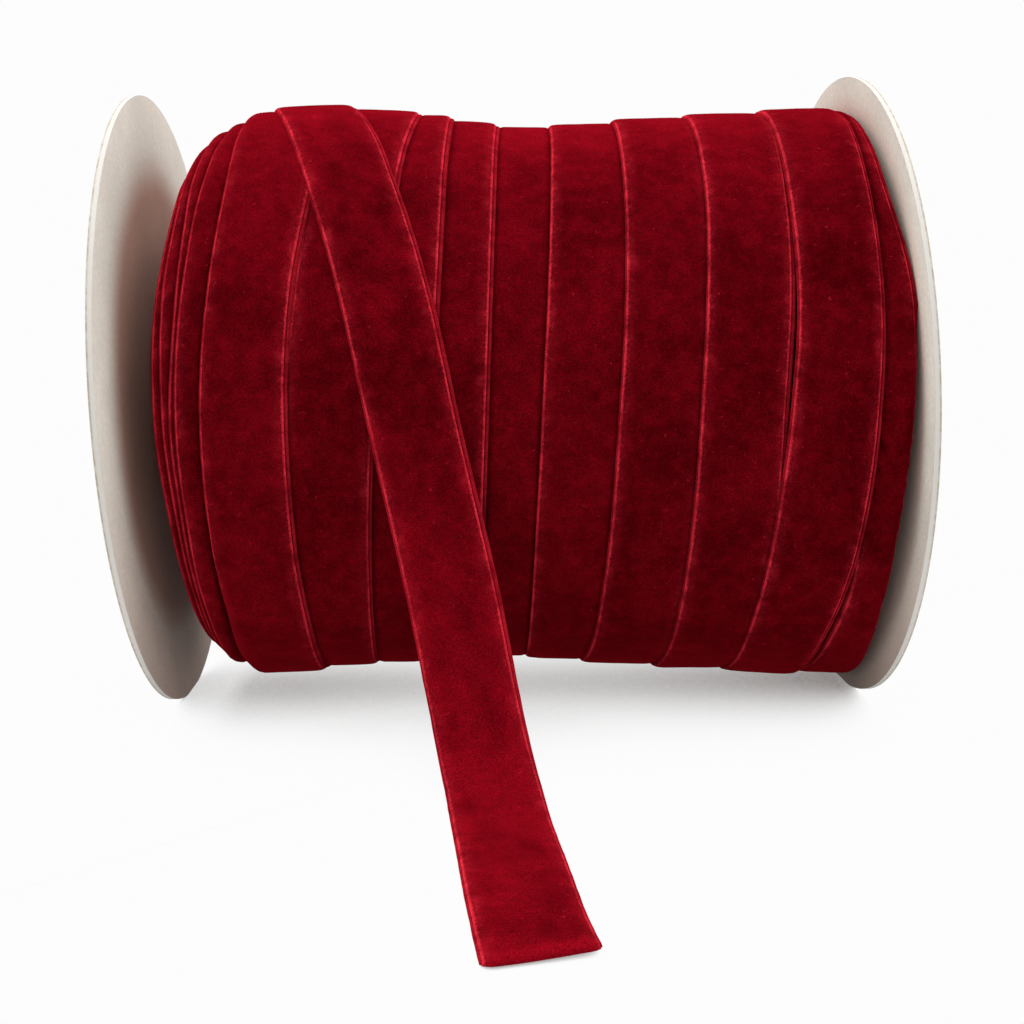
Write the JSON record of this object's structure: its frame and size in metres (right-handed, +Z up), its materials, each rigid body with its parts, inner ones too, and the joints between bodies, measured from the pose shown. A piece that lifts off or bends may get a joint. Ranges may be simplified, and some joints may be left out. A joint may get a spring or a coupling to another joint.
{
  "type": "roll of velvet ribbon",
  "caption": "Plain velvet ribbon wound in stepped turns on a spool with two round boards, with its loose end over the front and out on the surface.",
  "frame": {"origin": "on the surface that the roll rests on, under the middle of the whole part's box", "axes": "+X along the spool's axis from the left board to the right board, +Y away from the loose end, +Z up"},
  "size_m": [0.2121, 0.2861, 0.182],
  "materials": {
    "board": "uncoated pale grey-beige board with a cream cut edge",
    "velvet": "deep crimson cut-pile velvet"
  },
  "bodies": {
    "root": {"board_left": "board", "board_right": "board", "wound_ribbon": "velvet", "loose_end": "velvet"}
  },
  "joints": []
}
